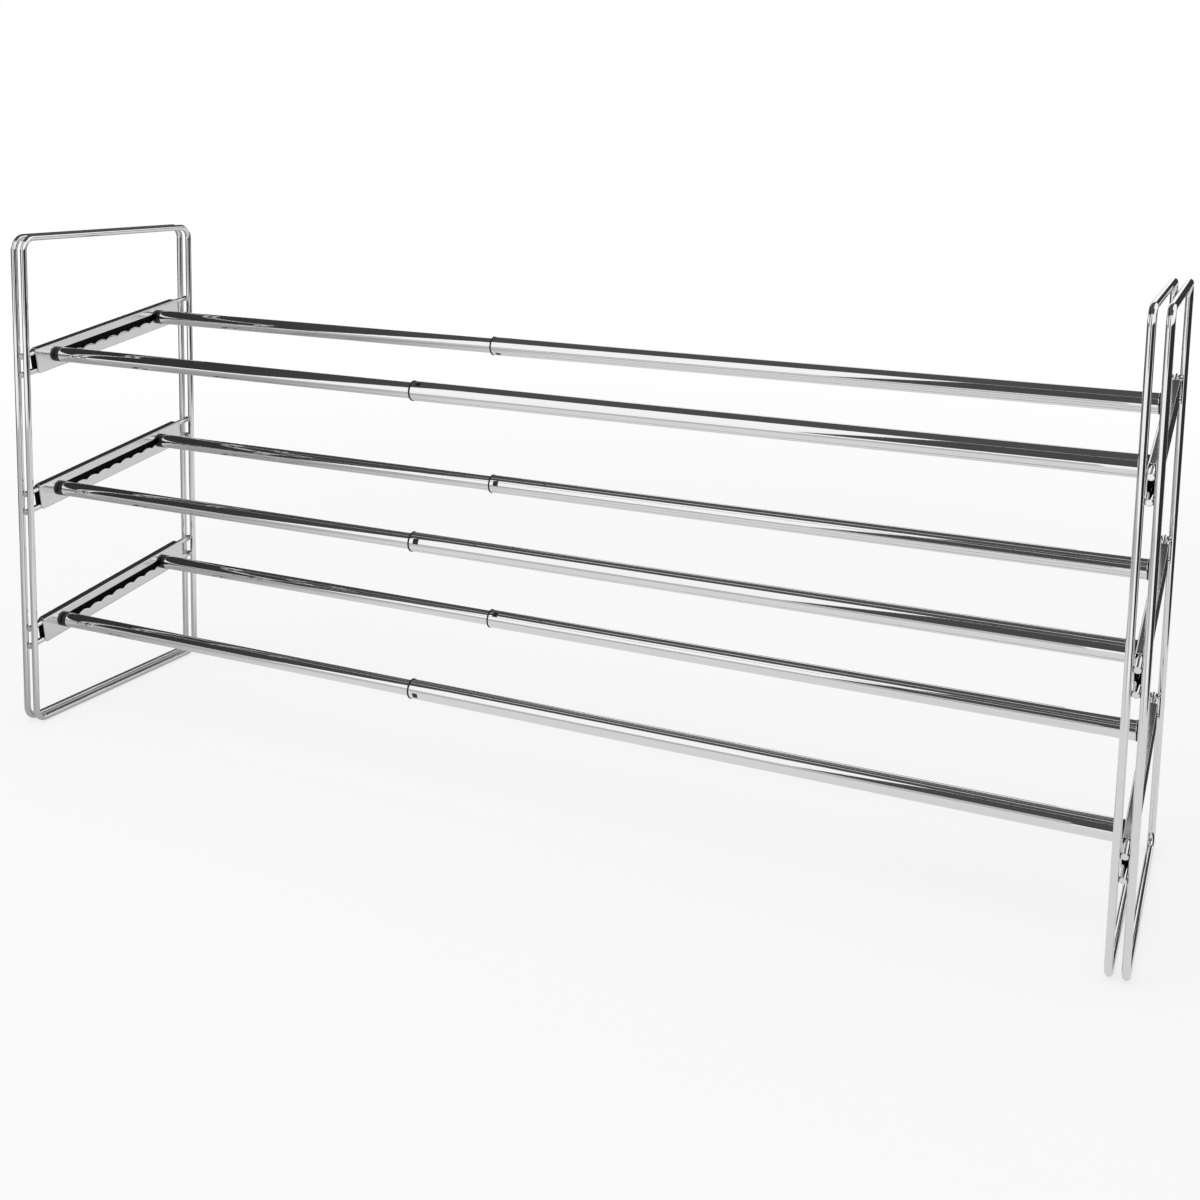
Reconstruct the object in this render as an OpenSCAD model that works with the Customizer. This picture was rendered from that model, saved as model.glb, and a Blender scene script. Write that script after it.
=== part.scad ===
// Pull out shoe rack with three tiers, in millimetres.
// X runs along the rack, the front faces -Y and Z is up. The origin is on the floor, in the
// middle of the rack as it is drawn. Each end is a pair of wire loops with three channel
// brackets, and two telescopic rails run between the brackets of each tier.

/* [Rack] */
// Width over the outer loops as drawn
rack_w = 1030; // [980:5:1100]
// Depth over the loops
frame_d = 238; // [230:1:300]
// Height over the loops
frame_h = 480; // [470:1:560]

/* [Wire loops] */
// Diameter of the loop wire
wire_d = 6; // [5:0.5:8]
// Bend radius of the loop corners, to the middle of the wire
bend_r = 12; // [8:1:30]
// Diameter of the depth rods
rod_d = 5.6; // [4.5:0.1:7]
// How far the rod ends stay behind the front and back of the loops
rod_inset = 1; // [0:0.5:3]

/* [Tiers] */
// Height of the lowest brackets at the middle of the depth
tier_z = 104; // [70:1:115]
// Distance from one tier to the next
tier_pitch = 134.2; // [100:0.1:140]
// Forward tilt of the brackets, in degrees
tier_tilt = 8.6; // [0:0.2:12]

/* [Brackets] */
// Length of a bracket along its slope
bracket_l = 204; // [185:1:210]
// Height of a bracket's web
bracket_h = 24.8; // [24:0.1:32]
// Width of the bracket's flanges
flange_w = 8; // [7:0.1:12]
// Thickness of the bracket sheet
sheet_t = 0.8; // [0.6:0.1:1.5]
// Inside radius of the bracket's bends
sheet_bend_r = 0.8; // [0.4:0.1:1.5]
// Corner radius at the ends of the web and of the cover strip
web_corner_r = 3; // [1:0.5:6]
// Thickness of the cover strip that closes the bracket's open side
cover_t = 1.5; // [1:0.1:2]

/* [Scalloped slot] */
// Number of notches that a rail can rest in
notch_count = 10; // [4:1:10]
// Distance between neighbouring notches
notch_pitch = 16.2; // [13:0.1:17]
// Height of the humps between the notches
hump_rise = 2.4; // [1.5:0.1:2.8]
// Height of the flat at the bottom of a notch above the point where two humps cross
notch_flat = 0.3; // [0.1:0.05:0.4]
// How far the slot runs past the last notch at each end
slot_over = 6.5; // [5:0.5:8]
// Corner radius at the ends of the slot
slot_corner_r = 3; // [1:0.5:3]
// How far the middle of a rail sits below the middle of the bracket
rail_drop = 0.3; // [0:0.1:0.8]

/* [Rails] */
// Outside diameter of the inner tubes
inner_d = 14; // [12:0.5:14.5]
// Outside diameter of the outer tubes
outer_d = 17; // [16.5:0.5:19]
// Wall thickness of both tubes
tube_wall = 0.6; // [0.5:0.1:0.8]
// Length of the inner tubes
inner_l = 570; // [520:1:575]
// Length of the outer tubes
outer_l = 594; // [560:1:620]

/* [Bush and glide] */
// Length of the bush inside the mouth of the outer tube
bush_l = 18; // [12:1:30]
// Diameter of the bush's flange
flange_d = 18; // [17:0.1:21]
// Thickness of the bush's flange
flange_t = 1.2; // [0.8:0.1:2]
// Side of the square window in the outer tube
window_w = 5; // [3:0.5:6]
// Distance from the mouth of the outer tube to the window
window_x = 4; // [2:0.5:6]
// Length of the glide's ring
glide_l = 6; // [4:0.5:12]
// Turn of the windows of the front rails from facing forward, lowest tier first
front_window_turn = [-20, 20, 54]; // [-90:1:90]
// Turn of the windows of the rear rails from facing forward, lowest tier first
rear_window_turn = [50, 18, -58]; // [-90:1:90]

/* [End plugs] */
// Length of the collar between tube and bracket
collar_l = 5; // [3:0.5:12]
// How far the collar stands out past its tube, all round
collar_lip = 0.2; // [0:0.1:0.6]
// Length of the plug inside the tube
spigot_l = 12; // [8:1:20]
// Diameter of the hollow in the plug
spigot_bore = 8; // [4:0.5:10]
// Diameter of the neck that passes through the slot
neck_d = 5.6; // [5:0.1:6]
// Diameter of the head behind the bracket
head_d = 8.2; // [8:0.1:8.4]
// Thickness of the head
head_t = 2.4; // [1.5:0.1:3.5]
// Width of the bevel on the head
head_bevel = 0.8; // [0.3:0.1:1.4]

/* [Clearances] */
// Gap between pieces that are welded or pressed together
seat_gap = 0.05; // [0.02:0.01:0.1]
// Gap all round a running fit between the tubes
run_gap = 0.08; // [0.03:0.01:0.1]
// Gap between a plug's neck and the humps that it rests on
rest_gap = 0.03; // [0.02:0.01:0.08]
// Gap between the bracket's web and the collar or the head
web_gap = 0.1; // [0.05:0.01:0.3]
// Free height over a neck as it passes the top of a hump
pass_gap = 0.5; // [0.3:0.1:0.8]
// Gap between the snap tab and the edges of its window
tab_gap = 0.15; // [0.1:0.05:0.4]

/* [Hidden] */
SIDES = ["left", "right"];
PLACES = ["front", "rear"];
TIERS = [1, 2, 3];
PARTS = ["inner_tube", "outer_tube", "bush", "glide", "inner_plug", "outer_plug"];

$fn = 96;

// A cut reaches this far past the face that it opens.
cut = 1;

// Planes across the rack at the left end, from the outside in.
outer_loop_x = -rack_w / 2 + wire_d / 2;
rod_x = outer_loop_x + wire_d / 2 + seat_gap + rod_d / 2;
inner_loop_x = rod_x + rod_d / 2 + seat_gap + wire_d / 2;
web_out_x = rod_x + rod_d / 2 + seat_gap;
web_in_x = web_out_x + sheet_t;

// Rods in the corners of their channel.
rod_v = bracket_h / 2 - sheet_t - seat_gap - rod_d / 2;
rod_l = (frame_d - 2 * rod_inset) / cos(tier_tilt) - rod_d * tan(tier_tilt);

// Scalloped slot, in the plane of the web: u runs up the slope and v across it.
hump_r = (pow(notch_pitch / 2, 2) + pow(hump_rise, 2)) / (2 * hump_rise);
hop_r = hump_r + neck_d / 2 + rest_gap;
seat_v = -rail_drop;
hump_v = seat_v - sqrt(pow(hop_r, 2) - pow(notch_pitch / 2, 2));
slot_top_v = hump_v + hop_r + neck_d / 2 + pass_gap;
slot_low_v = hump_v + hump_r - hump_rise + notch_flat;
seat_u = (notch_count - 1) / 2 * notch_pitch;
slot_l = 2 * (seat_u + slot_over);

// Places along a rail.
collar_x = web_in_x + web_gap;
inner_x = collar_x + collar_l;
outer_x = -inner_x - outer_l;
inner_bore = inner_d - 2 * tube_wall;
outer_bore = outer_d - 2 * tube_wall;

function tier_height(t) = tier_z + (t - 1) * tier_pitch;
function window_turn(t, p) = (p == "front" ? front_window_turn : rear_window_turn)[t - 1];

// A rectangle about the origin with round corners.
module rounded_rect(size, r) {
    square([size[0] - 2 * r, size[1]], center = true);
    square([size[0], size[1] - 2 * r], center = true);
    for (x = [-1, 1], y = [-1, 1])
        translate([x * (size[0] / 2 - r), y * (size[1] / 2 - r)])
            circle(r = r);
}

// A tube or ring along X from x to x + l.
module ring(x, l, d, bore) {
    translate([x, 0, 0])
        rotate([0, 90, 0])
            difference() {
                cylinder(d = d, h = l);
                translate([0, 0, -cut])
                    cylinder(d = bore, h = l + 2 * cut);
            }
}

// A round bar along X from x to x + l.
module bar(x, l, d) {
    translate([x, 0, 0])
        rotate([0, 90, 0])
            cylinder(d = d, h = l);
}

// Puts its children at one end of the rack. The right end is the left one mirrored.
module at_end(s) {
    mirror([s == "right" ? 1 : 0, 0, 0])
        children();
}

// Puts its children, drawn about the middle of a bracket, on a tier's slope.
module on_slope(t) {
    translate([0, 0, tier_height(t)])
        rotate([tier_tilt, 0, 0])
            children();
}

// Puts its children, drawn along the X axis, in a rail's resting notch.
module on_rail(t, p) {
    on_slope(t)
        translate([0, (p == "front" ? -1 : 1) * seat_u, seat_v])
            rotate([-tier_tilt, 0, 0])
                children();
}

// One wire bent into a rectangle and closed, in the plane X = x.
module loop(x) {
    half_y = (frame_d - wire_d) / 2 - bend_r;
    half_z = (frame_h - wire_d) / 2 - bend_r;
    translate([x, 0, frame_h / 2])
        rotate([90, 0, 90]) {
            for (m = [-1, 1]) {
                translate([m * (half_y + bend_r), -half_z, 0])
                    rotate([-90, 0, 0])
                        cylinder(d = wire_d, h = 2 * half_z);
                translate([-half_y, m * (half_z + bend_r), 0])
                    rotate([0, 90, 0])
                        cylinder(d = wire_d, h = 2 * half_y);
            }
            for (a = [0 : 90 : 270])
                translate([half_y * (a == 0 || a == 270 ? 1 : -1), half_z * (a < 180 ? 1 : -1), 0])
                    rotate([0, 0, a])
                        rotate_extrude(angle = 90)
                            translate([bend_r, 0])
                                circle(d = wire_d);
        }
}

module outer_loop(s) {
    color("silver")
        at_end(s)
            loop(outer_loop_x);
}

module inner_loop(s) {
    color("silver")
        at_end(s)
            loop(inner_loop_x);
}

// The two rods that run front to back through a bracket's corners.
module rods(s, t) {
    color("silver")
        at_end(s)
            on_slope(t)
                for (v = [-rod_v, rod_v])
                    translate([rod_x, v * tan(tier_tilt) - rod_l / 2, v])
                        rotate([-90, 0, 0])
                            cylinder(d = rod_d, h = rod_l);
}

// Section of the channel, with its web's inner face at x = 0 and its open side at -x.
module channel_section() {
    translate([-flange_w, 0])
        difference() {
            rounded_rect([2 * flange_w, bracket_h], sheet_bend_r + sheet_t);
            rounded_rect([2 * (flange_w - sheet_t), bracket_h - 2 * sheet_t], sheet_bend_r);
            translate([-flange_w - cut, -bracket_h / 2 - cut])
                square([flange_w + cut, bracket_h + 2 * cut]);
        }
}

// Outline of the slot: a straight upper edge, and round humps with a notch between each two.
module slot_outline() {
    difference() {
        translate([0, (slot_top_v + slot_low_v) / 2])
            rounded_rect([slot_l, slot_top_v - slot_low_v], slot_corner_r);
        for (i = [0 : notch_count])
            translate([(i - notch_count / 2) * notch_pitch, hump_v])
                circle(r = hump_r);
    }
}

// Stands an outline, drawn with u and v, across the web of a bracket.
module across_web() {
    translate([-flange_w - cut, 0, 0])
        rotate([90, 0, 90])
            linear_extrude(flange_w + 2 * cut)
                children();
}

module bracket(s, t) {
    color("gainsboro")
        at_end(s)
            on_slope(t)
                translate([web_in_x, 0, 0])
                    difference() {
                        intersection() {
                            translate([0, bracket_l / 2, 0])
                                rotate([90, 0, 0])
                                    linear_extrude(bracket_l)
                                        channel_section();
                            across_web()
                                rounded_rect([bracket_l, bracket_h], web_corner_r);
                        }
                        across_web()
                            slot_outline();
                    }
}

// Plastic strip between the flanges of a bracket, pressed against the rods from outside.
module cover(s, t) {
    cover_h = bracket_h - 2 * sheet_t - 2 * seat_gap;
    color("dimgray")
        at_end(s)
            on_slope(t)
                translate([rod_x - rod_d / 2 - seat_gap - cover_t, 0, 0])
                    rotate([90, 0, 90])
                        linear_extrude(cover_t)
                            rounded_rect([bracket_l, cover_h], web_corner_r);
}

module inner_tube(t, p) {
    color("silver")
        on_rail(t, p)
            ring(inner_x, inner_l, inner_d, inner_bore);
}

// A block for the snap window, reaching out from the axis past the wall of the outer tube.
module window_block(t, p, gap, reach) {
    rotate([90 - window_turn(t, p), 0, 0])
        translate([outer_x + window_x + gap, -window_w / 2 + gap, 0])
            cube([window_w - 2 * gap, window_w - 2 * gap, reach]);
}

module outer_tube(t, p) {
    color("silver")
        on_rail(t, p)
            difference() {
                ring(outer_x, outer_l, outer_d, outer_bore);
                window_block(t, p, 0, outer_d);
            }
}

// Sleeve in the mouth of the outer tube, with its flange outside and its snap tab in the window.
module bush(t, p) {
    bush_bore = inner_d + 2 * run_gap;
    sleeve_d = outer_bore - 2 * seat_gap;
    color("dimgray")
        on_rail(t, p) {
            ring(outer_x - seat_gap - flange_t, flange_t, flange_d, bush_bore);
            ring(outer_x - seat_gap - flange_t, flange_t + bush_l, sleeve_d, bush_bore);
            intersection() {
                window_block(t, p, tab_gap, outer_d);
                ring(outer_x, bush_l, outer_d, bush_bore);
            }
        }
}

// Ring that runs in the outer tube, on a spigot in the hidden end of the inner tube.
module glide(t, p) {
    end_x = inner_x + inner_l;
    color("dimgray")
        on_rail(t, p)
            difference() {
                union() {
                    bar(end_x - spigot_l, spigot_l + glide_l, inner_bore - 2 * seat_gap);
                    bar(end_x + seat_gap, glide_l, outer_bore - 2 * run_gap);
                }
                bar(end_x - spigot_l - cut, spigot_l + glide_l + 2 * cut, spigot_bore);
            }
}

// Plug for the end of a tube at the left: spigot, collar, neck and bevelled head.
module end_plug(tube_d, tube_bore) {
    head_x = web_out_x - web_gap - head_t;
    difference() {
        bar(inner_x - seat_gap, spigot_l, tube_bore - 2 * seat_gap);
        bar(inner_x, spigot_l + cut, spigot_bore);
    }
    bar(collar_x, collar_l - seat_gap, tube_d + 2 * collar_lip);
    bar(head_x, collar_x - head_x + cut, neck_d);
    translate([head_x, 0, 0])
        rotate([0, 90, 0]) {
            cylinder(d1 = head_d - 2 * head_bevel, d2 = head_d, h = head_bevel);
            translate([0, 0, head_bevel])
                cylinder(d = head_d, h = head_t - head_bevel);
        }
}

module inner_plug(t, p) {
    color("dimgray")
        on_rail(t, p)
            end_plug(inner_d, inner_bore);
}

module outer_plug(t, p) {
    color("dimgray")
        on_rail(t, p)
            at_end("right")
                end_plug(outer_d, outer_bore);
}

for (s = SIDES) {
    outer_loop(s);
    inner_loop(s);
    for (t = TIERS) {
        rods(s, t);
        bracket(s, t);
        cover(s, t);
    }
}
for (t = TIERS, p = PLACES) {
    rail = str("tier", t, "_", p, "_");
    inner_tube(t, p);
    outer_tube(t, p);
    bush(t, p);
    glide(t, p);
    inner_plug(t, p);
    outer_plug(t, p);
}
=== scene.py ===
"""Looks of the pull out shoe rack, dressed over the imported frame. Shapes are worked out in
millimetres, with X along the rack, the front at -Y and Z up, and turned to metres in the mesh. The
pieces of an end are worked out at the right end and mirrored for the left one."""
import math

import bmesh
import bpy
import numpy as np
from mathutils import Matrix, Vector


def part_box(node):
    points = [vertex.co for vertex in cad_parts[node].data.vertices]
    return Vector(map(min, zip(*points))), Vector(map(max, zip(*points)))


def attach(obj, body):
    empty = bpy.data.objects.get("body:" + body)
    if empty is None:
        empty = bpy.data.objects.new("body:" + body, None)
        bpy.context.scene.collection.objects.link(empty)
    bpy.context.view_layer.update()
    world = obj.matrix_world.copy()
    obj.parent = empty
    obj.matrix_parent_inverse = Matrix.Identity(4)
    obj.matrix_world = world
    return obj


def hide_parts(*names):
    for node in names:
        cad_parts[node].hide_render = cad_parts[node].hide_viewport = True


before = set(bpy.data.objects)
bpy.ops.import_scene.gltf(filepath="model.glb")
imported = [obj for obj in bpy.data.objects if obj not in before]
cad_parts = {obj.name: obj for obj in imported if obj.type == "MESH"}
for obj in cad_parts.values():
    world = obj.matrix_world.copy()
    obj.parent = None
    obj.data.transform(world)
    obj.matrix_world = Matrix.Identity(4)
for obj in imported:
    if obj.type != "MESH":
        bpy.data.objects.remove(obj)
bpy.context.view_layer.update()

MM = 0.001
RENDER_PX = 1200
SIDES = {"left": -1.0, "right": 1.0}
PLACES = ("front", "rear")

# Wire ends: two loops with the depth rods between them
FRAME_H = 480.0
FRAME_D = 238.0
WIRE_D = 6.0
LOOP_BEND_R = 12.0
ROD_D = 5.6
ROD_INSET = 1.0
ROD_RIM_R = 0.7

# Weld beads: half their size along X, Y and Z, how far out of the rod's skin they sit, and the
# angle from their ends at which they are closed flat
BEAD_HALF = (0.8, 1.6, 2.2)
BEAD_OUT = 0.03
BEAD_END = 0.12

# Tiers, brackets and cover strips
TIER_HEIGHTS = {1: 104.0, 2: 238.2, 3: 372.4}
TILT = math.radians(8.6)
BRACKET_L = 204.0
BRACKET_H = 24.8
FLANGE_W = 8.0
SHEET_T = 0.8
SHEET_BEND_R = 0.8
SHEET_RIM = 0.12
WEB_CORNER_R = 3.0
BLANK_END = 4.0
COVER_T = 1.5
COVER_EDGE_R = 0.35

# Scalloped slot
NOTCH_COUNT = 10
NOTCH_PITCH = 16.2
HUMP_RISE = 2.4
NOTCH_FLAT = 0.3
SLOT_OVER = 6.5
SLOT_CORNER_R = 3.0
SLOT_HALF = (NOTCH_COUNT - 1) / 2 * NOTCH_PITCH + SLOT_OVER
RAIL_DROP = 0.3
PASS_GAP = 0.5

# Rails: tubes, windows in degrees from level to the front, end plugs and bushes
INNER_TUBE_D = 14.0
TUBE_WALL = 0.6
TUBE_RIM_R = 0.15
WINDOW_W = 5.0
WINDOW_X = 4.0
WINDOW_TURN = {
    "front": {1: -20.0, 2: 20.0, 3: 54.0},
    "rear": {1: 50.0, 2: 18.0, 3: -58.0},
}
SPIGOT_L = 12.0
COLLAR_L = 5.0
COLLAR_OVER = 0.2
NECK_D = 5.6
HEAD_D = 8.2
HEAD_T = 2.4
HEAD_BEVEL = 0.8
TAB_ROOT = 0.2
TAB_SUNK = 0.02

# Gaps
SEAT_GAP = 0.05
REST_GAP = 0.03
WEB_GAP = 0.1
RUN_GAP = 0.08
TAB_GAP = 0.15

# Fineness of the surfaces: faces round a section, and how far beside a rim the extra lines lie
# that keep its shading in place
WIRE_SIDES = 28
BAR_SIDES = 64
TUBE_SIDES = 96
BEAD_SIDES = 16
BEAD_RINGS = 9
TAB_STEPS = 9
NOTCH_STEPS = 12
WIRE_LINE = 1.0
BAR_LINE = 0.4
TUBE_LINE = 0.5
FLANGE_LINE = 0.3

# How a mesh is finished: points closer than this are one, edges that turn by more than these
# degrees are shaded sharp or bevelled, and a crisp corner of an outline has this radius
MERGE_GAP = 1e-4
SHARP_FROM = 25.0
BEVEL_FROM = 50.0
CRISP_R = 0.01

# Planes across the right end, as distances from the middle of the rack
OUTER_LOOP_X = 512.0
ROD_X = OUTER_LOOP_X - WIRE_D / 2 - SEAT_GAP - ROD_D / 2
INNER_LOOP_X = ROD_X - ROD_D / 2 - SEAT_GAP - WIRE_D / 2
COVER_X = ROD_X + ROD_D / 2 + SEAT_GAP
WEB_OUT_X = ROD_X - ROD_D / 2 - SEAT_GAP
WEB_IN_X = WEB_OUT_X - SHEET_T
COLLAR_X = WEB_IN_X - WEB_GAP

# Heights across a bracket's slope: the rods lie against its flanges
SEAT_V = BRACKET_H / 2 - SHEET_T - SEAT_GAP
ROD_V = SEAT_V - ROD_D / 2


# ---------------------------------------------------------------- shapes

# A skin is the array of its points and a list of its faces, in blocks of one number of corners.

def grid_faces(rows, cols, wrap_rows=False, wrap_cols=False):
    """Quads of a grid of points: each joins a point, the next one in its row, and the two beside
    them in the next row. A wrapped direction joins its last line to its first."""
    row = np.arange(rows if wrap_rows else rows - 1)
    col = np.arange(cols if wrap_cols else cols - 1)
    row, col = (a.ravel() for a in np.meshgrid(row, col, indexing="ij"))
    down, along = (row + 1) % rows, (col + 1) % cols
    return np.stack([row * cols + col, row * cols + along, down * cols + along, down * cols + col], 1)


def rounded(corners, radii, steps=4):
    """A closed outline with each corner swapped for an arc of its own radius. The arc's middle is
    on the line that halves the corner, radius / sin(half the angle) from it, and the arc's points
    turn evenly from the one side's foot to the other's."""
    corners = np.asarray(corners, float)
    radii = np.broadcast_to(np.asarray(radii, float), len(corners))[:, None]
    back = np.roll(corners, 1, axis=0) - corners
    ahead = np.roll(corners, -1, axis=0) - corners
    back /= np.linalg.norm(back, axis=1, keepdims=True)
    ahead /= np.linalg.norm(ahead, axis=1, keepdims=True)
    half = np.arccos(np.sum(back * ahead, axis=1, keepdims=True)) / 2
    middle = back + ahead
    middle = corners + middle / np.linalg.norm(middle, axis=1, keepdims=True) * radii / np.sin(half)
    first = corners + back * radii / np.tan(half) - middle
    last = corners + ahead * radii / np.tan(half) - middle
    share = np.linspace(0, 1, steps + 1)[:, None, None]
    sweep = np.pi - 2 * half
    arc = (np.sin((1 - share) * sweep) * first + np.sin(share * sweep) * last) / np.sin(sweep)
    return (middle + arc).transpose(1, 0, 2).reshape(-1, 2)


def round_box(half_a, half_b, radius, steps):
    """Outline of a rectangle with round corners, about its middle."""
    corners = [(-half_a, -half_b), (half_a, -half_b), (half_a, half_b), (-half_a, half_b)]
    return rounded(corners, radius, steps)


def out_of_box(outline, half_a, half_b, radius):
    """The directions that point straight out of a rectangle with round corners: from the nearest
    place in the rectangle that is smaller by the radius on each side, to the outline."""
    inside = np.clip(outline, [radius - half_a, radius - half_b], [half_a - radius, half_b - radius])
    out = outline - inside
    return out / np.linalg.norm(out, axis=1, keepdims=True)


def supported(outline, gap):
    """An outline with two more points on each side that is longer than four gaps, a gap from its
    ends, so that the shading of a round corner stays in the corner."""
    ahead = np.roll(outline, -1, axis=0) - outline
    length = np.linalg.norm(ahead, axis=1, keepdims=True)
    step = ahead / np.maximum(length, MERGE_GAP) * gap
    points = np.stack([outline, outline + step, outline + ahead - step], axis=1)
    kept = np.ones(points.shape[:2], bool)
    kept[:, 1:] = length > 4 * gap
    return points[kept]


def open_skin(points):
    """Skin of a grid of points that is open on all four sides."""
    return points.reshape(-1, 3), [grid_faces(*points.shape[:2])]


def closed_sweep(sections):
    """Skin of a closed section carried round a closed path: rows are the places along the path
    and columns go round the section."""
    rows, cols = sections.shape[:2]
    return sections.reshape(-1, 3), [grid_faces(rows, cols, True, True)]


def capped_sweep(sections):
    """Skin of a closed section carried along an open path, with one flat face over each end."""
    rows, cols = sections.shape[:2]
    first = np.arange(cols)[None]
    last = first + (rows - 1) * cols
    return sections.reshape(-1, 3), [grid_faces(rows, cols, False, True), first[:, ::-1], last]


def joined(*skins):
    """Several skins as one: each one's faces count on from the number of points before it."""
    points, faces, start = [], [], 0
    for skin_points, skin_faces in skins:
        points.append(skin_points)
        faces += [block + start for block in skin_faces]
        start += len(skin_points)
    return np.concatenate(points), faces


def full_turn(count):
    """The angles of a whole turn in even steps: the step's number x 2 pi / the count."""
    return np.arange(count) * 2 * np.pi / count


def around_x(profile, axis_y, axis_z, angles):
    """Points of a profile of (x, radius) pairs turned about a line along X: for each pair and
    angle, y = axis_y + radius cos(angle) and z = axis_z + radius sin(angle)."""
    x, radius = np.asarray(profile, float).T[:, :, None]
    across = axis_y + radius * np.cos(angles)
    up = axis_z + radius * np.sin(angles)
    return np.stack([np.broadcast_to(x, across.shape), across, up], axis=2)


def turned_bar(profile, axis_y, axis_z):
    """A solid bar: the profile's rows go along it, and a flat face closes each end."""
    return capped_sweep(around_x(profile, axis_y, axis_z, full_turn(BAR_SIDES)))


def turned_ring(profile, axis_y, axis_z, sides):
    """A tube or ring: a closed profile of the wall, carried once round the axis."""
    return closed_sweep(around_x(profile, axis_y, axis_z, full_turn(sides)).transpose(1, 0, 2))


def bar_profile(corners, radii, steps=4):
    """The (x, radius) pairs of a bar from its corners, without those that lie on its axis."""
    outline = supported(rounded(corners, radii, steps), BAR_LINE)
    return outline[outline[:, 1] > MERGE_GAP]


def on_slope(x, u, v, tier):
    """Points of a tier's slope in the rack: u runs up the slope and v across it, so that
    y = u cos(tilt) - v sin(tilt) and z = height + u sin(tilt) + v cos(tilt)."""
    x, u, v = np.broadcast_arrays(x, u, v)
    y = u * np.cos(TILT) - v * np.sin(TILT)
    z = TIER_HEIGHTS[tier] + u * np.sin(TILT) + v * np.cos(TILT)
    return np.stack([x, y, z], axis=-1)


def placed(name, data):
    """A new object of this data at the origin of the scene."""
    shown = bpy.data.objects.new(name, data)
    bpy.context.scene.collection.objects.link(shown)
    return shown


# ---------------------------------------------------------------- pieces

def piece(name, skin, finish, body, nodes=(), side=1.0, bevel=0.0, wall=0.0):
    """A piece from points in millimetres. Points that meet are merged and the faces turned
    outwards. A wall gives an open skin its thickness, inwards, and a bevel then takes a little off
    the sharpest edges. Side -1 mirrors it to the left end."""
    points, blocks = skin
    faces = [face for block in blocks for face in block.tolist()]
    mesh = bpy.data.meshes.new(name)
    mesh.from_pydata((points * [side * MM, MM, MM]).tolist(), [], faces)
    made = bmesh.new()
    made.from_mesh(mesh)
    bmesh.ops.remove_doubles(made, verts=made.verts, dist=MERGE_GAP * MM)
    bmesh.ops.recalc_face_normals(made, faces=made.faces)
    if wall:
        bmesh.ops.solidify(made, geom=made.faces[:], thickness=wall * MM)
        bmesh.ops.recalc_face_normals(made, faces=made.faces)
    if bevel:
        steepest = math.radians(BEVEL_FROM)
        edges = [e for e in made.edges if e.is_manifold and e.calc_face_angle() > steepest]
        bmesh.ops.bevel(made, geom=edges, offset=bevel * MM, offset_type="OFFSET", segments=2,
                        profile=0.5, affect="EDGES", clamp_overlap=True)
    made.to_mesh(mesh)
    made.free()
    mesh.shade_smooth()
    mesh.set_sharp_from_angle(angle=math.radians(SHARP_FROM))
    mesh.materials.append(finish)
    shown = placed(name, mesh)
    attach(shown, body)
    if nodes:
        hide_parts(*nodes)


def wire_loop(x):
    """One wire bent into a rectangle and welded closed. The path is a rectangle with round corners
    in the plane of x, and a point of the wire is the path's point plus its radius times
    (cos(t) outwards + sin(t) along X)."""
    half_y, half_z = FRAME_D / 2 - WIRE_D / 2, FRAME_H / 2 - WIRE_D / 2
    path = supported(round_box(half_y, half_z, LOOP_BEND_R, steps=12), WIRE_LINE)
    outward = out_of_box(path, half_y, half_z, LOOP_BEND_R)
    turn = full_turn(WIRE_SIDES)
    out = WIRE_D / 2 * np.cos(turn)[None, :, None] * outward[:, None, :]
    y, z = (path[:, None, :] + out).transpose(2, 0, 1)
    along = np.broadcast_to(x + WIRE_D / 2 * np.sin(turn), y.shape)
    return closed_sweep(np.stack([along, y, z + FRAME_H / 2], axis=2))


def depth_rod(tier, v):
    """A straight rod up the slope, cut blunt with its rims broken: a profile of (length, radius)
    turned about the line at height v across the slope. The rod is as long as the frame's depth
    allows, with an inset at both ends."""
    half = (FRAME_D - 2 * ROD_INSET) / 2 / math.cos(TILT) - ROD_D / 2 * math.tan(TILT)
    profile = bar_profile([(-half, 0), (-half, ROD_D / 2), (half, ROD_D / 2), (half, 0)],
                          [CRISP_R, ROD_RIM_R, ROD_RIM_R, CRISP_R], steps=5)
    turn = full_turn(WIRE_SIDES)
    u = profile[:, :1] + v * math.tan(TILT) + 0 * turn
    x = ROD_X + profile[:, 1:] * np.cos(turn)
    return capped_sweep(on_slope(x, u, v + profile[:, 1:] * np.sin(turn), tier))


def weld_bead(x, y, z):
    """A flat blob where a rod crosses a wire: an ellipsoid, with x = a cos(p), y = b sin(p) cos(t)
    and z = c sin(p) sin(t) about the crossing."""
    a, b, c = BEAD_HALF
    p = np.linspace(BEAD_END, np.pi - BEAD_END, BEAD_RINGS)[:, None]
    turn = full_turn(BEAD_SIDES)
    return capped_sweep(np.stack([x + a * np.cos(p) + 0 * turn, y + b * np.sin(p) * np.cos(turn),
                                  z + c * np.sin(p) * np.sin(turn)], axis=2))


def tier_beads(tier):
    """The weld beads of a tier's two rods: on both sides of each rod, where it crosses the front
    and the rear uprights. A rod's middle is at z = height + y tan(tilt) + v / cos(tilt)."""
    upright_y = FRAME_D / 2 - WIRE_D / 2
    beside = ROD_D / 2 + BEAD_OUT
    beads = []
    for v in (-ROD_V, ROD_V):
        for y in (-upright_y, upright_y):
            z = TIER_HEIGHTS[tier] + y * math.tan(TILT) + v / math.cos(TILT)
            beads += [weld_bead(ROD_X + beside, y, z), weld_bead(ROD_X - beside, y, z)]
    return beads


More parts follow.
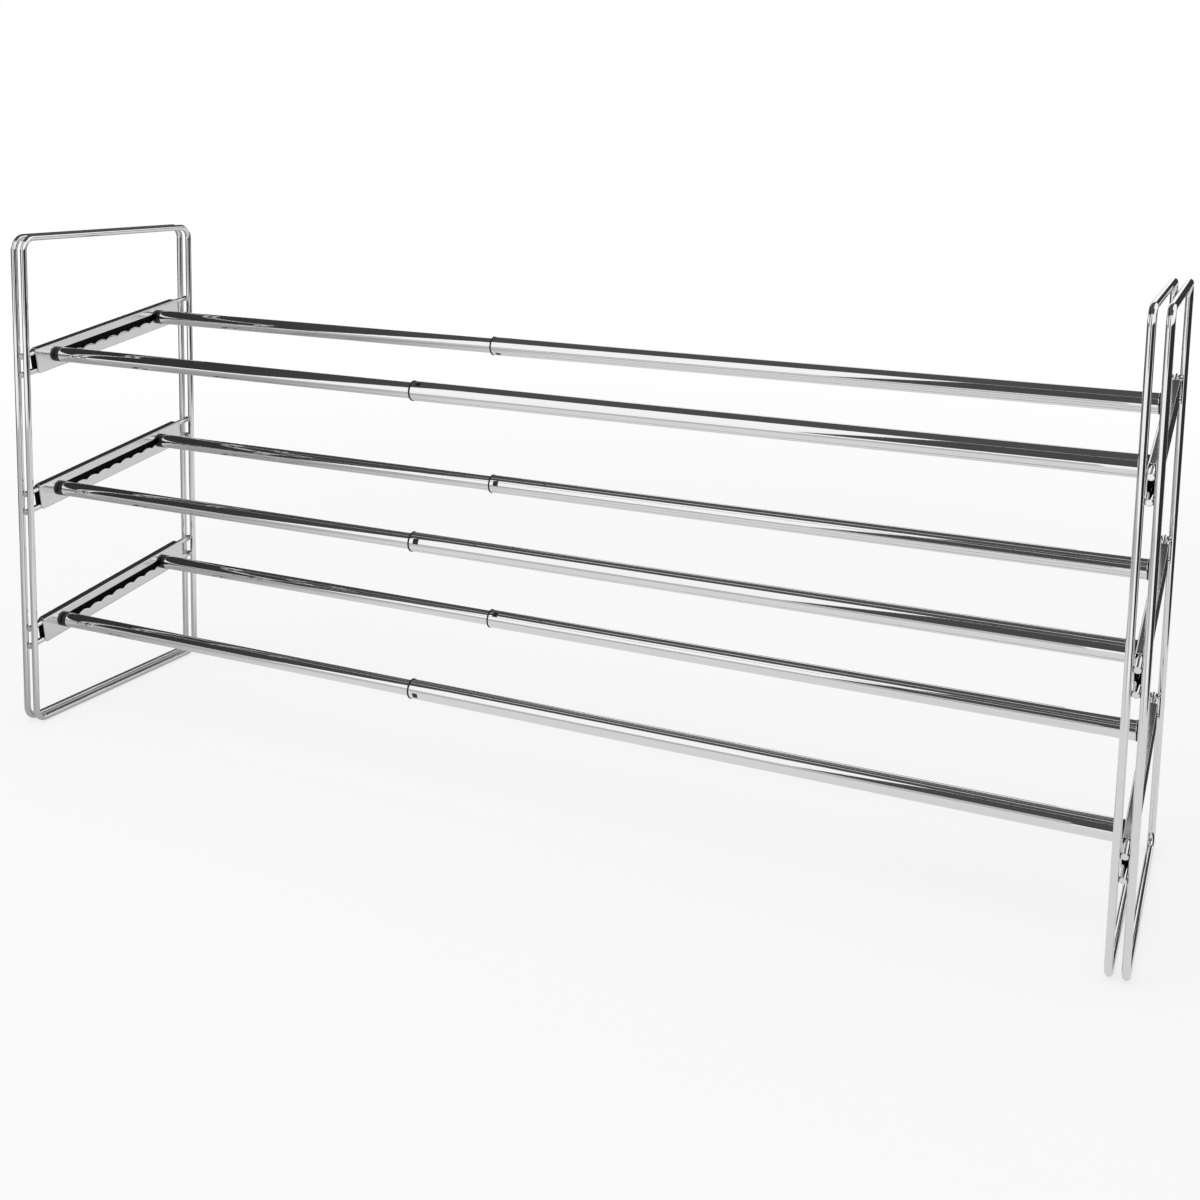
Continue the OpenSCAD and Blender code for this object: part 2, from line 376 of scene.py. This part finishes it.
def slot_edges(u):
    """Lower and upper edge of the scalloped slot at u. Below, humps of one radius stand a pitch
    apart, cut flat at the bottom of each notch; above, the edge is straight. The radius is
    (half the pitch squared + rise squared) / (2 rise). The ends are round."""
    half_pitch = NOTCH_PITCH / 2
    hump_r = (half_pitch ** 2 + HUMP_RISE ** 2) / (2 * HUMP_RISE)
    hop_r = hump_r + NECK_D / 2 + REST_GAP
    hump_v = -RAIL_DROP - math.sqrt(hop_r ** 2 - half_pitch ** 2)
    top = hump_v + hop_r + NECK_D / 2 + PASS_GAP
    low = hump_v + hump_r - HUMP_RISE + NOTCH_FLAT
    off_hump = np.mod(u + NOTCH_COUNT / 2 * NOTCH_PITCH + half_pitch, NOTCH_PITCH) - half_pitch
    humps = hump_v + np.sqrt(hump_r ** 2 - off_hump ** 2)
    past = np.clip(np.abs(u) - (SLOT_HALF - SLOT_CORNER_R), 0, SLOT_CORNER_R)
    drop = SLOT_CORNER_R - np.sqrt(SLOT_CORNER_R ** 2 - past ** 2)
    bottom = low + drop
    return np.maximum(bottom, np.where(np.abs(u) < SLOT_HALF, humps, bottom)), top - drop


def bracket_skin(tier):
    """The outer skin of a bracket as a folded blank, in strips: a flange, a bend and half the web
    on each side of the slot, and the web beyond the slot's ends. On a flange x falls away from the
    web, on a bend (x, v) follows a quarter circle, and on the web v runs from the border to the
    slot. Near the ends, u is drawn in to the round corners of the blank."""
    bend_r = SHEET_BEND_R + SHEET_T
    half_u, half_v = BRACKET_L / 2, BRACKET_H / 2
    web_v, corner_v = half_v - bend_r, half_v - WEB_CORNER_R
    drawn_u, round_u = half_u - BLANK_END, SLOT_HALF - SLOT_CORNER_R

    # Places along u: over the notches, round the slot's ends, and on to the ends of the blank
    notches = np.linspace(-round_u, round_u, NOTCH_COUNT * NOTCH_STEPS + 1)[1:-1]
    slot_end = SLOT_HALF - SLOT_CORNER_R * (1 - np.sin(np.linspace(0, np.pi / 2, 8)))
    beyond = np.concatenate([np.linspace(SLOT_HALF, drawn_u, 5)[1:],
                             np.linspace(drawn_u, half_u, 6)[1:]])
    u = np.concatenate([-beyond[::-1], -slot_end[::-1], notches, slot_end, beyond])
    low, top = slot_edges(u)

    def reach(v):
        """Half the length of the blank at height v: a quarter circle takes off each corner."""
        over = np.clip(np.abs(v) - corner_v, 0, WEB_CORNER_R)
        return half_u - WEB_CORNER_R + np.sqrt(WEB_CORNER_R ** 2 - over ** 2)

    def strip(x, v):
        """One strip of the blank, with u drawn in at the ends."""
        x, v, flat = np.broadcast_arrays(x, v, u)
        end = np.clip(np.abs(flat) - drawn_u, 0, None) / BLANK_END
        drawn = np.sign(flat) * (np.minimum(np.abs(flat), drawn_u) + end * (reach(v) - drawn_u))
        return open_skin(on_slope(x, drawn, v, tier))

    bend = np.linspace(0, np.pi / 2, 7)[:, None]
    bend_x, bend_v = WEB_IN_X + bend_r * (1 - np.cos(bend)), web_v + bend_r * np.sin(bend)
    flange_x = WEB_IN_X + np.array([bend_r, bend_r + FLANGE_LINE, FLANGE_W / 2,
                                    FLANGE_W - FLANGE_LINE, FLANGE_W])[:, None]
    border = np.linspace(web_v, corner_v, 4)[:, None]
    share = np.linspace(0, 1, 5)[:, None]
    strips = []
    for way, edge in ((-1.0, low), (1.0, top)):
        to_slot = way * corner_v * (1 - share) + edge * share
        strips.append(strip(WEB_IN_X, np.concatenate([way * border + 0 * u, to_slot[1:]])))
        strips.append(strip(bend_x, way * bend_v))
        strips.append(strip(flange_x, way * half_v))
    for end in (-u > SLOT_HALF - MERGE_GAP, u > SLOT_HALF - MERGE_GAP):
        strips.append(open_skin(on_slope(WEB_IN_X, u[end], np.array([low[end], top[end]]), tier)))
    return joined(*strips)


def cover_strip(tier):
    """The strip that closes a bracket's open side: its outline, a rectangle with round corners, is
    carried through its thickness and drawn in along a quarter circle at both faces."""
    half_u, half_v = BRACKET_L / 2, SEAT_V
    turn = np.linspace(0, np.pi / 2, 5)
    rise = COVER_EDGE_R * (1 - np.sin(turn))
    draw = COVER_EDGE_R * (1 - np.cos(turn))
    depth = np.concatenate([COVER_T - rise[::-1], rise])
    inset = np.concatenate([draw[::-1], draw])
    outline = round_box(half_u, half_v, WEB_CORNER_R, steps=8)
    out = out_of_box(outline, half_u, half_v, WEB_CORNER_R)
    u, v = (outline[None] - out[None] * inset[:, None, None]).transpose(2, 0, 1)
    return capped_sweep(on_slope((COVER_X + depth)[:, None], u, v, tier))


def tube_axis(node):
    """Middle line, radius and ends of a round node along X, in millimetres, from its box."""
    low, high = (np.array(corner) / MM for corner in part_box(node))
    return (low + high)[1] / 2, (low + high)[2] / 2, (high - low)[2] / 2, low[0], high[0]


def inner_tube(node):
    """A plain tube: the profile of its wall, with the rims broken, turned about its axis."""
    y, z, r, x0, x1 = tube_axis(node)
    wall = rounded([(x0, r - TUBE_WALL), (x1, r - TUBE_WALL), (x1, r), (x0, r)], TUBE_RIM_R)
    return turned_ring(supported(wall, TUBE_LINE), y, z, TUBE_SIDES)


def outer_tube_skin(node, turn):
    """Outer skin of a tube that has a square window near its left end: a grid of rings along X
    and lines round it, without the quads between the window's two rings and side lines."""
    y, z, r, x0, x1 = tube_axis(node)
    step = 2 * np.pi / TUBE_SIDES
    wide = round(WINDOW_W / r / step)
    angles = np.radians(180.0 + turn) - wide / 2 * step + np.arange(TUBE_SIDES) * step
    start = x0 + WINDOW_X
    stop = start + WINDOW_W
    x = np.array([x0, x0 + TUBE_LINE, start - TUBE_LINE, start, stop, stop + TUBE_LINE,
                  x1 - TUBE_LINE, x1])
    points = around_x(np.stack([x, np.full(len(x), r)], axis=1), y, z, angles)
    faces = grid_faces(len(x), TUBE_SIDES, False, True)
    ring, line = np.divmod(np.arange(len(faces)), TUBE_SIDES)
    window = (x[ring] == start) & (line < wide)
    return points.reshape(-1, 3), [faces[~window]]


def bush(node, tube_node, turn):
    """A sleeve with a flange, turned about the tube's axis, and the snap tab: the section of the
    tab in x and radius, carried along the arc that the window spans."""
    y, z, tube_r, x0, _ = tube_axis(tube_node)
    _, _, flange_r, left, right = tube_axis(node)
    sleeve_r = tube_r - TUBE_WALL - SEAT_GAP
    bore_r = INNER_TUBE_D / 2 + RUN_GAP
    face = x0 - SEAT_GAP
    corners = [(left, bore_r), (right, bore_r), (right, sleeve_r), (face, sleeve_r),
               (face, flange_r), (left, flange_r)]
    edge_radii = [0.2, 0.2, 0.2, 0.05, 0.2, 0.3]
    ring = turned_ring(rounded(corners, edge_radii), y, z, BAR_SIDES)

    start = x0 + WINDOW_X + TAB_GAP
    stop = start + WINDOW_W - 2 * TAB_GAP
    root_r, top_r = sleeve_r - TAB_ROOT, tube_r - TAB_SUNK
    tab_radii = [0.02, 0.02, 0.3, 0.3]
    section = rounded([(start, root_r), (stop, root_r), (stop, top_r), (start, top_r)], tab_radii)
    half = (WINDOW_W / 2 - TAB_GAP) / tube_r
    arc = np.radians(180.0 + turn) + np.linspace(-half, half, TAB_STEPS)
    return joined(ring, capped_sweep(around_x(section, y, z, arc).transpose(1, 0, 2)))


def end_plug(tube_node, side):
    """A tube's end plug, turned about the tube's axis: spigot, round-edged collar, neck through
    the slot and bevelled head behind the bracket."""
    y, z, r, _, _ = tube_axis(tube_node)
    spigot_r, collar_r = r - TUBE_WALL - SEAT_GAP, r + COLLAR_OVER
    neck_r, head_r = NECK_D / 2, HEAD_D / 2
    seat = COLLAR_X - COLLAR_L + SEAT_GAP
    tip = seat - SPIGOT_L
    head = WEB_OUT_X + WEB_GAP
    crown = head + HEAD_T
    corners = [(tip, 0), (tip, spigot_r), (seat, spigot_r), (seat, collar_r), (COLLAR_X, collar_r),
               (COLLAR_X, neck_r), (head, neck_r), (head, head_r), (crown - HEAD_BEVEL, head_r),
               (crown, head_r - HEAD_BEVEL), (crown, 0)]
    edge_radii = [CRISP_R, 0.5, 0.02, 0.25, 1.0, 0.1, 0.1, 0.2, 0.2, 0.2, CRISP_R]
    return turned_bar(bar_profile(corners, edge_radii) * [side, 1], y, z)


# ---------------------------------------------------------------- finishes

def linear(colour):
    """An sRGB hex colour as a linear one: c / 12.92 up to 0.04045, else
    ((c + 0.055) / 1.055) ^ 2.4."""
    c = np.array([int(colour[i:i + 2], 16) for i in (1, 3, 5)]) / 255
    return (*np.where(c <= 0.04045, c / 12.92, ((c + 0.055) / 1.055) ** 2.4), 1.0)


def add(tree, kind, inputs=None, **settings):
    """Adds a node, sets its properties, and sets or links its inputs."""
    new = tree.nodes.new(kind)
    for name, value in settings.items():
        setattr(new, name, value)
    for name, value in (inputs or {}).items():
        if isinstance(value, bpy.types.NodeSocket):
            tree.links.new(value, new.inputs[name])
        else:
            new.inputs[name].default_value = value
    return new


def new_finish(name):
    """An empty material of this name, and its node tree."""
    finish = bpy.data.materials.new(name)
    finish.use_nodes = True
    finish.node_tree.nodes.clear()
    return finish, finish.node_tree


def per_mm(x, y, z):
    """Mapping scale that makes a pattern repeat about every x, y and z millimetres."""
    return (1 / (x * MM), 1 / (y * MM), 1 / (z * MM))


def chrome(name, colours, roughness, line, swell, line_depth, swell_depth):
    """Bright plating over steel. Line and swell are the sizes in millimetres, along X, Y and Z, of
    the fine marks of drawing or rolling and of the slow waves that bend the reflections."""
    finish, tree = new_finish(name)
    place = add(tree, "ShaderNodeTexCoord").outputs["Object"]
    fine_place = add(tree, "ShaderNodeMapping", {"Vector": place, "Scale": per_mm(*line)})
    fine = add(tree, "ShaderNodeTexNoise", {
        "Vector": fine_place.outputs["Vector"], "Scale": 1.0, "Detail": 3.0, "Roughness": 0.6})
    slow_place = add(tree, "ShaderNodeMapping", {"Vector": place, "Scale": per_mm(*swell)})
    slow = add(tree, "ShaderNodeTexNoise", {
        "Vector": slow_place.outputs["Vector"], "Scale": 1.0, "Detail": 2.0})
    polish = add(tree, "ShaderNodeMapRange", {
        "Value": fine.outputs["Fac"], "From Min": 0.35, "From Max": 0.75,
        "To Min": roughness[0], "To Max": roughness[1]})
    waves = add(tree, "ShaderNodeBump", {
        "Height": slow.outputs["Fac"], "Strength": 1.0, "Distance": swell_depth * MM})
    marks = add(tree, "ShaderNodeBump", {
        "Height": fine.outputs["Fac"], "Strength": 1.0, "Distance": line_depth * MM,
        "Normal": waves.outputs["Normal"]})
    shade = add(tree, "ShaderNodeMix", {
        "Factor": slow.outputs["Fac"], "A": linear(colours[0]), "B": linear(colours[1])},
        data_type="RGBA")
    metal = add(tree, "ShaderNodeBsdfPrincipled", {
        "Base Color": shade.outputs["Result"], "Metallic": 1.0, "Roughness": polish.outputs["Result"],
        "Normal": marks.outputs["Normal"]})
    add(tree, "ShaderNodeOutputMaterial", {"Surface": metal.outputs["BSDF"]})
    return finish


# Chrome-plated drawn steel tube: mirror bright, with faint lines along the tube. The real lines
# are finer than a render shows, so they are drawn 1.2 mm apart.
chromed_tube = chrome("chrome_plated_drawn_steel_tube", ("#EFEFF0", "#F5F5F5"), (0.03, 0.06),
                      line=(60, 1.2, 1.2), swell=(90, 9, 9), line_depth=0.003, swell_depth=0.02)
# Chrome-plated drawn steel wire: as bright, a little wavier where it was bent. Its lines are drawn
# 1.5 mm apart, so that they show.
chromed_wire = chrome("chrome_plated_drawn_steel_wire", ("#EDEDEE", "#F3F3F4"), (0.04, 0.08),
                      line=(1.5, 40, 40), swell=(20, 30, 30), line_depth=0.003, swell_depth=0.015)
# The welds under the same plating: lumpy and duller, which is real, and with a dark base colour that is
# painted shade, standing for the shade between the loops where they sit, so they stand out darker than the
# wire.
weld_chrome_painted_shade = chrome("chrome_plated_weld_painted_shade", ("#5C5C5E", "#828284"), (0.12, 0.28),
                      line=(1.2, 1.2, 1.2), swell=(5, 5, 5), line_depth=0.01, swell_depth=0.06)
# Chrome-plated pressed steel sheet: the rolled skin under the plating scatters it to a pale grey.
# Its grain is finer in fact and is drawn 0.8 mm wide, so that it shows.
chromed_sheet = chrome("chrome_plated_pressed_steel_sheet", ("#E2E2E3", "#ECECED"), (0.10, 0.18),
                       line=(0.8, 0.8, 0.8), swell=(14, 14, 14), line_depth=0.006, swell_depth=0.03)


def moulded_plastic(name, colours, roughness, grain, specular, flow=12.0, grain_depth=0.03):
    """Black polypropylene as moulded: a fine even grain, a soft sheen and a faint change of shade
    along the flow. The sizes of grain and flow and the grain's depth are in millimetres."""
    finish, tree = new_finish(name)
    place = add(tree, "ShaderNodeTexCoord").outputs["Object"]
    grain_place = add(tree, "ShaderNodeMapping", {"Vector": place, "Scale": per_mm(grain, grain, grain)})
    grains = add(tree, "ShaderNodeTexNoise", {
        "Vector": grain_place.outputs["Vector"], "Scale": 1.0, "Detail": 2.0})
    flow_place = add(tree, "ShaderNodeMapping", {"Vector": place, "Scale": per_mm(flow, flow, flow)})
    flows = add(tree, "ShaderNodeTexNoise", {
        "Vector": flow_place.outputs["Vector"], "Scale": 1.0, "Detail": 1.0})
    shade = add(tree, "ShaderNodeMix", {
        "Factor": flows.outputs["Fac"], "A": linear(colours[0]), "B": linear(colours[1])},
        data_type="RGBA")
    sheen = add(tree, "ShaderNodeMapRange", {
        "Value": grains.outputs["Fac"], "To Min": roughness[0], "To Max": roughness[1]})
    bump = add(tree, "ShaderNodeBump", {
        "Height": grains.outputs["Fac"], "Strength": 0.6, "Distance": grain_depth * MM})
    plastic = add(tree, "ShaderNodeBsdfPrincipled", {
        "Base Color": shade.outputs["Result"], "IOR": 1.49, "Specular IOR Level": specular,
        "Roughness": sheen.outputs["Result"], "Normal": bump.outputs["Normal"]})
    add(tree, "ShaderNodeOutputMaterial", {"Surface": plastic.outputs["BSDF"]})
    return finish


# Black moulded polypropylene: dark grey-black and half matt. The grain of the mould is drawn
# 0.5 mm wide, coarser than it is, so that it shows.
black_plastic = moulded_plastic("black_moulded_polypropylene", ("#161617", "#1E1E20"),
                                (0.36, 0.5), grain=0.5, specular=0.5)
# The strips are of the same plastic with a sparked surface: deeper black and nearly without sheen.
matt_plastic = moulded_plastic("matt_black_moulded_polypropylene", ("#101011", "#161617"),
                               (0.7, 0.85), grain=0.8, specular=0.2)


# ---------------------------------------------------------------- the rack

for side_name, side in SIDES.items():
    end = side_name + "_end"
    for loop_name, loop_x in (("outer", OUTER_LOOP_X), ("inner", INNER_LOOP_X)):
        node = f"{side_name}_{loop_name}_loop"
        piece(node + "_wire", wire_loop(loop_x), chromed_wire, end, [node], side)
    beads = []
    for tier in TIER_HEIGHTS:
        node = f"{side_name}_tier{tier}_rods"
        piece(node + "_pair", joined(depth_rod(tier, -ROD_V), depth_rod(tier, ROD_V)), chromed_wire,
              end, [node], side)
        node = f"{side_name}_tier{tier}_bracket"
        piece(node + "_channel", bracket_skin(tier), chromed_sheet, end, [node],
              side, wall=SHEET_T, bevel=SHEET_RIM)
        node = f"{side_name}_tier{tier}_cover"
        piece(node + "_strip", cover_strip(tier), matt_plastic, end, [node], side)
        beads += tier_beads(tier)
    # The weld beads take the weld finish, whose dark colour is painted shade.
    piece(side_name + "_weld_beads", joined(*beads), weld_chrome_painted_shade, end, side=side)

for tier in TIER_HEIGHTS:
    for place in PLACES:
        rail = f"tier{tier}_{place}_"
        inner_rail, outer_rail = rail + "inner_rail", rail + "outer_rail"
        window_turn = -WINDOW_TURN[place][tier]
        piece(rail + "inner_tube_wall", inner_tube(rail + "inner_tube"), chromed_tube,
              inner_rail, [rail + "inner_tube"])
        piece(rail + "outer_tube_wall", outer_tube_skin(rail + "outer_tube", window_turn),
              chromed_tube, outer_rail, [rail + "outer_tube"], wall=TUBE_WALL,
              bevel=SHEET_RIM)
        piece(rail + "bush_sleeve", bush(rail + "bush", rail + "outer_tube", window_turn),
              black_plastic, outer_rail, [rail + "bush"])
        piece(rail + "inner_end_plug", end_plug(rail + "inner_tube", SIDES["left"]), black_plastic,
              inner_rail, [rail + "inner_plug"])
        piece(rail + "outer_end_plug", end_plug(rail + "outer_tube", SIDES["right"]), black_plastic,
              outer_rail, [rail + "outer_plug"])
        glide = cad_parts[rail + "glide"]
        glide.data.materials.clear()
        glide.data.materials.append(black_plastic)


# ---------------------------------------------------------------- floor, light and camera

# All in metres and degrees. The floor lies a little under the rack. The cards overhead lie on a
# vault, a cylinder about a line along X, and reach from one angle on it to another: 0 is level to
# the front, 90 straight up and 180 level to the back.
FLOOR_HALF = 40.0
FLOOR_Z = -0.0004
VAULT_R = 3.0
VAULT_Z = 0.24
VAULT_STEPS = 33
CARD_FOOT = -4.0
CANOPY_FRONT = 60.0
CANOPY_BACK = 165.0
CANOPY_BACK_CUT = 15.0
CANOPY_SIDE_BACK = 95.0
CAMERA_FLAG_TOP = 59.0

# Upright cards: the two ends of their foot in x and y, their lowest and highest z, and colour
LOW_FLAGS = {
    "back_flag": ((-7.0, 1.5), (0.3, 1.5), 0.0, 0.55, "#404040"),
    "back_flag_top": ((0.5, 1.5), (1.4, 1.5), 0.32, 0.75, "#383838"),
    "left_flag": ((-1.2, -0.65), (-1.2, 1.5), 0.0, 0.5, "#484848"),
    "right_flag": ((1.05, -2.0), (1.05, 1.05), 0.0, 0.55, "#303030"),
    "front_flag": ((-3.0, -0.6), (0.42, -0.6), 0.0, 0.2, "#BCBCBC"),
}

LAMP_SIZE = (2.4, 1.6)
LAMP_WATTS = 14.0
LAMP_PLACE = (-0.5, -1.3, 2.4)
LAMP_AIM = (0.0, 0.0, 0.2)

# The camera: its focal length and the height of its optical axis in pixels of the full render, its
# place, and its yaw, pitch and roll in degrees
FOCAL_PX = 1467.758
AXIS_PX = 324.0
CAMERA_PLACE = (0.56783, -1.14632, 0.58074)
CAMERA_TURNS = (24.483, -7.191, -1.150)


def stage_sheet(name, points, finish):
    """A surface of the stage from a grid of points in metres."""
    mesh = bpy.data.meshes.new(name)
    mesh.from_pydata(points.reshape(-1, 3).tolist(), [], grid_faces(*points.shape[:2]).tolist())
    mesh.shade_smooth()
    mesh.materials.append(finish)
    shown = placed(name, mesh)
    return shown


def pale_floor():
    """A matt floor that shows as white, with the rack's soft shadow kept in it: the share of white
    grows from 0.7 near the rack to 1 far from it. The metal sees the floor light grey near the
    rack, darker to its left, and white further to the front. All changes are smooth steps."""
    finish, tree = new_finish("pale_floor")
    rays = add(tree, "ShaderNodeLightPath").outputs
    place = add(tree, "ShaderNodeTexCoord").outputs["Object"]
    spot = add(tree, "ShaderNodeSeparateXYZ", {0: place}).outputs
    away = add(tree, "ShaderNodeVectorMath", {0: place}, operation="LENGTH")
    matt = add(tree, "ShaderNodeBsdfDiffuse", {"Color": linear("#F4F4F4")})
    white = add(tree, "ShaderNodeEmission", {"Color": linear("#FFFFFF"), "Strength": 1.0})
    share = add(tree, "ShaderNodeMapRange", {
        "Value": away.outputs["Value"], "From Min": 0.7, "From Max": 2.6, "To Min": 0.7, "To Max": 1.0},
        interpolation_type="SMOOTHSTEP")
    direct = add(tree, "ShaderNodeMath", {
        0: rays["Is Camera Ray"], 1: rays["Is Transmission Ray"]}, operation="MAXIMUM")
    shown = add(tree, "ShaderNodeMath", {0: direct.outputs[0], 1: share.outputs[0]}, operation="MULTIPLY")
    seen = add(tree, "ShaderNodeMixShader", {0: shown.outputs[0], 1: matt.outputs[0], 2: white.outputs[0]})

    to_left = add(tree, "ShaderNodeMapRange", {
        "Value": spot["X"], "From Min": -0.22, "From Max": -0.62}, interpolation_type="SMOOTHSTEP")
    near = add(tree, "ShaderNodeMix", {
        "Factor": to_left.outputs[0], "A": linear("#DADADA"), "B": linear("#8C8C8C")}, data_type="RGBA")
    to_front = add(tree, "ShaderNodeMapRange", {
        "Value": spot["Y"], "From Min": -0.62, "From Max": -0.75}, interpolation_type="SMOOTHSTEP")
    tone = add(tree, "ShaderNodeMix", {
        "Factor": to_front.outputs[0], "A": near.outputs["Result"], "B": linear("#FFFFFF")},
        data_type="RGBA")
    grey = add(tree, "ShaderNodeEmission", {"Color": tone.outputs["Result"], "Strength": 1.0})
    gloss = add(tree, "ShaderNodeMath", {0: rays["Is Glossy Ray"], 1: 0.85}, operation="MULTIPLY")
    mixed = add(tree, "ShaderNodeMixShader", {0: gloss.outputs[0], 1: seen.outputs[0], 2: grey.outputs[0]})
    add(tree, "ShaderNodeOutputMaterial", {"Surface": mixed.outputs[0]})
    return finish


def flag(name, points, colour, left_colour=None):
    """A plain card that only the metal sees, as a studio's black and grey flags are used for chrome.
    With a second colour it turns to that one between 1.2 and 3.2 m to the left."""
    finish, tree = new_finish(name + "_card")
    place = add(tree, "ShaderNodeTexCoord").outputs["Object"]
    spot = add(tree, "ShaderNodeSeparateXYZ", {0: place}).outputs
    to_left = add(tree, "ShaderNodeMapRange", {
        "Value": spot["X"], "From Min": -1.2, "From Max": -3.2}, interpolation_type="SMOOTHSTEP")
    shade = add(tree, "ShaderNodeMix", {
        "Factor": to_left.outputs[0], "A": linear(colour), "B": linear(left_colour or colour)},
        data_type="RGBA")
    glow = add(tree, "ShaderNodeEmission", {"Color": shade.outputs["Result"], "Strength": 1.0})
    add(tree, "ShaderNodeOutputMaterial", {"Surface": glow.outputs[0]})
    card = stage_sheet(name, points, finish)
    for rays in ("camera", "diffuse", "transmission", "volume_scatter", "shadow"):
        setattr(card, "visible_" + rays, False)


def ramp(x, start, stop):
    """A straight ramp along x: (x - start) / (stop - start), kept between 0 and 1."""
    return np.clip((x - start) / (stop - start), 0, 1)


def vault(x, first, last):
    """Points on the vault over the rack, from one angle to another at each x:
    y = -radius cos(angle) and z = middle + radius sin(angle)."""
    sweep = np.radians(first + (last - first) * np.linspace(0, 1, VAULT_STEPS)) + 0 * x
    y, z = -VAULT_R * np.cos(sweep), VAULT_Z + VAULT_R * np.sin(sweep)
    return np.stack([x + 0 * sweep, y, z], axis=2)


def upright(foot, end, low, high):
    """The corners of an upright card over a line on the floor."""
    return np.array([[(*foot, low), (*end, low)], [(*foot, high), (*end, high)]])


def soft_room():
    """A room of plain white light: 0.8 on the rack, and 1 where it is seen or mirrored."""
    room = bpy.data.worlds.new("soft_room")
    room.use_nodes = True
    tree = room.node_tree
    tree.nodes.clear()
    rays = add(tree, "ShaderNodeLightPath").outputs
    direct = add(tree, "ShaderNodeMath", {
        0: rays["Is Camera Ray"], 1: rays["Is Transmission Ray"]}, operation="MAXIMUM")
    bright = add(tree, "ShaderNodeMath", {
        0: direct.outputs[0], 1: rays["Is Glossy Ray"]}, operation="MAXIMUM")
    level = add(tree, "ShaderNodeMapRange", {"Value": bright.outputs[0], "To Min": 0.8, "To Max": 1.0})
    sky = add(tree, "ShaderNodeBackground", {"Color": linear("#FFFFFF"), "Strength": level.outputs[0]})
    add(tree, "ShaderNodeOutputWorld", {"Surface": sky.outputs[0]})
    return room


far = FLOOR_HALF
stage_sheet("floor", np.array([[(-far, -far, FLOOR_Z), (far, -far, FLOOR_Z)],
                               [(-far, far, FLOOR_Z), (far, far, FLOOR_Z)]]), pale_floor())

# A dark canopy over the rack. Its front edge comes down to the floor at the left, and its back edge
# is cut higher behind the rack. At the right only its front part goes on.
x = np.linspace(-5.0, 1.0, 61)[:, None]
front_edge = CANOPY_FRONT + (CARD_FOOT - CANOPY_FRONT) * ramp(x, -1.7, -2.5)
back_edge = CANOPY_BACK - CANOPY_BACK_CUT * ramp(x, 0.35, 0.15) * ramp(x, -1.6, -1.2)
flag("canopy", vault(x, front_edge, back_edge), "#4E4E4E", "#333333")
x = np.linspace(1.0, 2.2, 13)[:, None]
flag("canopy_front", vault(x, CANOPY_FRONT, CANOPY_SIDE_BACK), "#4E4E4E")
# A dark strip rises from the floor to the canopy's front edge beside the camera, low at its sides.
x = np.linspace(-0.62, 0.65, 41)[:, None]
strip_top = CARD_FOOT + (CAMERA_FLAG_TOP - CARD_FOOT) * ramp(x, -0.62, -0.17) * ramp(x, 0.65, 0.35)
flag("camera_flag", vault(x, CARD_FOOT, strip_top), "#4A4A4A")
# Low dark flags behind, to the left and to the right, and a low grey one in front.
for name, (foot, end, low, high, colour) in LOW_FLAGS.items():
    flag(name, upright(foot, end, low, high), colour)

bpy.context.scene.world = soft_room()

lamp_data = bpy.data.lights.new("soft_box", "AREA")
lamp_data.shape = "RECTANGLE"
lamp_data.size, lamp_data.size_y = LAMP_SIZE
lamp_data.energy = LAMP_WATTS
lamp = placed("soft_box", lamp_data)
lamp.location = LAMP_PLACE
lamp.rotation_euler = (Vector(LAMP_AIM) - lamp.location).to_track_quat("-Z", "Y").to_euler()
lamp.visible_glossy = False

camera_data = bpy.data.cameras.new("camera")
camera_data.sensor_width = 36.0
camera_data.lens = FOCAL_PX / RENDER_PX * camera_data.sensor_width
camera_data.shift_y = (AXIS_PX - RENDER_PX / 2) / RENDER_PX
camera_data.clip_end = 100.0
camera = placed("camera", camera_data)
yaw, pitch, roll = (math.radians(degrees) for degrees in CAMERA_TURNS)
# The last turn raises the camera from looking down to looking level along Y.
camera.matrix_world = (Matrix.Translation(CAMERA_PLACE) @ Matrix.Rotation(yaw, 4, "Z")
                       @ Matrix.Rotation(pitch, 4, "X") @ Matrix.Rotation(roll, 4, "Y")
                       @ Matrix.Rotation(math.pi / 2, 4, "X"))
bpy.context.scene.camera = camera
bpy.context.scene.view_settings.view_transform = "Standard"
